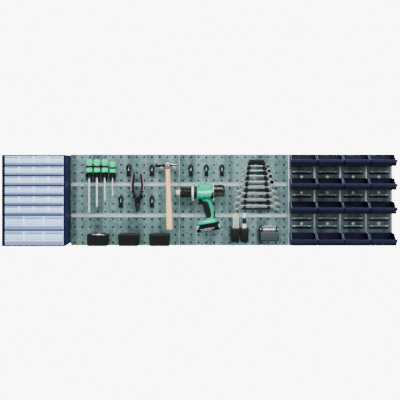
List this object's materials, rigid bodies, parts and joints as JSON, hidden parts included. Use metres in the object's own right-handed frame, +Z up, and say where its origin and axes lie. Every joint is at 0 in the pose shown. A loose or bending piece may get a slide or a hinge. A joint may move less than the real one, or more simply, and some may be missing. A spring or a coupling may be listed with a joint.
{
  "type": "pegboard tool wall",
  "caption": "Perforated steel tool wall with a drawer cabinet, hang-on bins, trays, tool holders, hand tools and a cordless drill.",
  "frame": {"origin": "on the wall face, at the middle of the wall's length and height", "axes": "+X to the right along the wall, +Z up, -Y out of the wall towards the user"},
  "size_m": [1.878, 0.163, 0.446],
  "materials": {
    "galvanised_sheet": "galvanised, fine grain",
    "bright_rail": "satin",
    "plated_screw": "polished",
    "navy_paint": "gloss",
    "navy_plastic": "gloss",
    "clear_plastic": "clear, smooth",
    "black_plastic": "satin",
    "green_plastic": "gloss",
    "forged_steel": "forged, polished faces",
    "ash_wood": "oiled",
    "chrome_steel": "polished",
    "red_grip": "moulded",
    "teal_plastic": "satin",
    "dark_rubber": "ribbed",
    "grey_plastic": "satin",
    "pencil_paint": "gloss"
  },
  "bodies": {
    "root": {"tool_panel_left": "galvanised_sheet", "tool_panel_right": "galvanised_sheet", "bin_panel": "galvanised_sheet", "panel_rails": "bright_rail", "panel_screws": "plated_screw", "rear_channels": "galvanised_sheet", "cabinet_shell": "navy_paint", "cabinet_shelves": "navy_paint", "spring_clips": "black_plastic", "screwdriver_holders": "black_plastic", "tool_hooks": "black_plastic", "spanner_rack": "black_plastic", "spanners": "chrome_steel", "pen_cups": "black_plastic", "pens": "pencil_paint", "bit_bracket": "black_plastic"},
    "drawer_1": {"drawer_1": "clear_plastic"},
    "drawer_2": {"drawer_2": "clear_plastic"},
    "drawer_3": {"drawer_3": "clear_plastic"},
    "drawer_4": {"drawer_4": "clear_plastic"},
    "drawer_5": {"drawer_5": "clear_plastic"},
    "drawer_6": {"drawer_6": "clear_plastic"},
    "drawer_7": {"drawer_7": "clear_plastic"},
    "drawer_8": {"drawer_8": "clear_plastic"},
    "bin_r1_c1": {"bin_r1_c1": "navy_plastic"},
    "bin_r1_c2": {"bin_r1_c2": "navy_plastic"},
    "bin_r1_c3": {"bin_r1_c3": "navy_plastic"},
    "bin_r1_c4": {"bin_r1_c4": "navy_plastic"},
    "bin_r2_c1": {"bin_r2_c1": "navy_plastic"},
    "bin_r2_c2": {"bin_r2_c2": "navy_plastic"},
    "bin_r2_c3": {"bin_r2_c3": "navy_plastic"},
    "bin_r2_c4": {"bin_r2_c4": "navy_plastic"},
    "bin_r3_c1": {"bin_r3_c1": "navy_plastic"},
    "bin_r3_c2": {"bin_r3_c2": "navy_plastic"},
    "bin_r3_c3": {"bin_r3_c3": "navy_plastic"},
    "bin_r3_c4": {"bin_r3_c4": "navy_plastic"},
    "bin_r4_c1": {"bin_r4_c1": "navy_plastic"},
    "bin_r4_c2": {"bin_r4_c2": "navy_plastic"},
    "bin_r4_c3": {"bin_r4_c3": "navy_plastic"},
    "bin_r4_c4": {"bin_r4_c4": "navy_plastic"},
    "tray_1": {"tray_1": "black_plastic"},
    "tray_2": {"tray_2": "black_plastic"},
    "tray_3": {"tray_3": "black_plastic"},
    "screwdriver_1": {"screwdriver_1": "green_plastic"},
    "screwdriver_2": {"screwdriver_2": "green_plastic"},
    "screwdriver_3": {"screwdriver_3": "green_plastic"},
    "screwdriver_4": {"screwdriver_4": "green_plastic"},
    "bit_box": {"bit_box": "grey_plastic"},
    "hammer": {"hammer_head": "forged_steel", "hammer_handle": "ash_wood"},
    "pliers_a": {"plier_half_a": "forged_steel", "plier_grip_a": "red_grip"},
    "pliers_b": {"plier_half_b": "forged_steel", "plier_grip_b": "red_grip"},
    "drill": {"drill_housing": "teal_plastic", "drill_rear_cap": "dark_rubber"},
    "drill_chuck": {"drill_chuck": "dark_rubber"},
    "drill_clutch_ring": {"drill_clutch_ring": "grey_plastic"},
    "drill_trigger": {"drill_trigger": "black_plastic"},
    "drill_battery": {"drill_battery": "dark_rubber"}
  },
  "joints": [
    {"name": "drawer_1_slide", "type": "slide", "parent": "root", "child": "drawer_1", "axis": [0, -1, 0], "range_m": [0, 0.12]},
    {"name": "drawer_2_slide", "type": "slide", "parent": "root", "child": "drawer_2", "axis": [0, -1, 0], "range_m": [0, 0.12]},
    {"name": "drawer_3_slide", "type": "slide", "parent": "root", "child": "drawer_3", "axis": [0, -1, 0], "range_m": [0, 0.12]},
    {"name": "drawer_4_slide", "type": "slide", "parent": "root", "child": "drawer_4", "axis": [0, -1, 0], "range_m": [0, 0.12]},
    {"name": "drawer_5_slide", "type": "slide", "parent": "root", "child": "drawer_5", "axis": [0, -1, 0], "range_m": [0, 0.12]},
    {"name": "drawer_6_slide", "type": "slide", "parent": "root", "child": "drawer_6", "axis": [0, -1, 0], "range_m": [0, 0.12]},
    {"name": "drawer_7_slide", "type": "slide", "parent": "root", "child": "drawer_7", "axis": [0, -1, 0], "range_m": [0, 0.12]},
    {"name": "drawer_8_slide", "type": "slide", "parent": "root", "child": "drawer_8", "axis": [0, -1, 0], "range_m": [0, 0.12]},
    {"name": "bin_r1_c1_lift", "type": "slide", "parent": "root", "child": "bin_r1_c1", "axis": [0, 0, 1], "range_m": [0, 0.018]},
    {"name": "bin_r1_c2_lift", "type": "slide", "parent": "root", "child": "bin_r1_c2", "axis": [0, 0, 1], "range_m": [0, 0.018]},
    {"name": "bin_r1_c3_lift", "type": "slide", "parent": "root", "child": "bin_r1_c3", "axis": [0, 0, 1], "range_m": [0, 0.018]},
    {"name": "bin_r1_c4_lift", "type": "slide", "parent": "root", "child": "bin_r1_c4", "axis": [0, 0, 1], "range_m": [0, 0.018]},
    {"name": "bin_r2_c1_lift", "type": "slide", "parent": "root", "child": "bin_r2_c1", "axis": [0, 0, 1], "range_m": [0, 0.018]},
    {"name": "bin_r2_c2_lift", "type": "slide", "parent": "root", "child": "bin_r2_c2", "axis": [0, 0, 1], "range_m": [0, 0.018]},
    {"name": "bin_r2_c3_lift", "type": "slide", "parent": "root", "child": "bin_r2_c3", "axis": [0, 0, 1], "range_m": [0, 0.018]},
    {"name": "bin_r2_c4_lift", "type": "slide", "parent": "root", "child": "bin_r2_c4", "axis": [0, 0, 1], "range_m": [0, 0.018]},
    {"name": "bin_r3_c1_lift", "type": "slide", "parent": "root", "child": "bin_r3_c1", "axis": [0, 0, 1], "range_m": [0, 0.018]},
    {"name": "bin_r3_c2_lift", "type": "slide", "parent": "root", "child": "bin_r3_c2", "axis": [0, 0, 1], "range_m": [0, 0.018]},
    {"name": "bin_r3_c3_lift", "type": "slide", "parent": "root", "child": "bin_r3_c3", "axis": [0, 0, 1], "range_m": [0, 0.018]},
    {"name": "bin_r3_c4_lift", "type": "slide", "parent": "root", "child": "bin_r3_c4", "axis": [0, 0, 1], "range_m": [0, 0.018]},
    {"name": "bin_r4_c1_lift", "type": "slide", "parent": "root", "child": "bin_r4_c1", "axis": [0, 0, 1], "range_m": [0, 0.018]},
    {"name": "bin_r4_c2_lift", "type": "slide", "parent": "root", "child": "bin_r4_c2", "axis": [0, 0, 1], "range_m": [0, 0.018]},
    {"name": "bin_r4_c3_lift", "type": "slide", "parent": "root", "child": "bin_r4_c3", "axis": [0, 0, 1], "range_m": [0, 0.018]},
    {"name": "bin_r4_c4_lift", "type": "slide", "parent": "root", "child": "bin_r4_c4", "axis": [0, 0, 1], "range_m": [0, 0.018]},
    {"name": "tray_1_lift", "type": "slide", "parent": "root", "child": "tray_1", "axis": [0, 0, 1], "range_m": [0, 0.014]},
    {"name": "tray_2_lift", "type": "slide", "parent": "root", "child": "tray_2", "axis": [0, 0, 1], "range_m": [0, 0.014]},
    {"name": "tray_3_lift", "type": "slide", "parent": "root", "child": "tray_3", "axis": [0, 0, 1], "range_m": [0, 0.014]},
    {"name": "screwdriver_1_lift", "type": "slide", "parent": "root", "child": "screwdriver_1", "axis": [0, 0, 1], "range_m": [0, 0.16]},
    {"name": "screwdriver_2_lift", "type": "slide", "parent": "root", "child": "screwdriver_2", "axis": [0, 0, 1], "range_m": [0, 0.13]},
    {"name": "screwdriver_3_lift", "type": "slide", "parent": "root", "child": "screwdriver_3", "axis": [0, 0, 1], "range_m": [0, 0.1]},
    {"name": "screwdriver_4_lift", "type": "slide", "parent": "root", "child": "screwdriver_4", "axis": [0, 0, 1], "range_m": [0, 0.08]},
    {"name": "bit_box_lift", "type": "slide", "parent": "root", "child": "bit_box", "axis": [0, 0, 1], "range_m": [0, 0.03]},
    {"name": "hammer_lift", "type": "slide", "parent": "root", "child": "hammer", "axis": [0, 0, 1], "range_m": [0, 0.03]},
    {"name": "pliers_lift", "type": "slide", "parent": "root", "child": "pliers_a", "axis": [0, 0, 1], "range_m": [0, 0.018]},
    {"name": "pliers_pivot", "type": "hinge", "parent": "pliers_a", "child": "pliers_b", "pos_m": [-0.307, -0.045, 0.01], "axis": [0, 1, 0], "range_deg": [-3, 35]},
    {"name": "drill_lift", "type": "slide", "parent": "root", "child": "drill", "axis": [0, 0, 1], "range_m": [0, 0.016]},
    {"name": "chuck_spin", "type": "hinge", "parent": "drill", "child": "drill_chuck", "pos_m": [-0.08, -0.066, 0.038], "axis": [1, 0, 0], "continuous": true},
    {"name": "clutch_ring_turn", "type": "hinge", "parent": "drill", "child": "drill_clutch_ring", "pos_m": [-0.03, -0.066, 0.038], "axis": [1, 0, 0], "range_deg": [0, 300]},
    {"name": "trigger_pull", "type": "slide", "parent": "drill", "child": "drill_trigger", "axis": [1, 0, 0], "range_m": [0, 0.006], "stiffness_N_per_m": 300, "springref_m": -0.004},
    {"name": "battery_slide", "type": "slide", "parent": "drill", "child": "drill_battery", "axis": [-0.9877, 0, -0.1564], "range_m": [0, 0.04]}
  ]
}
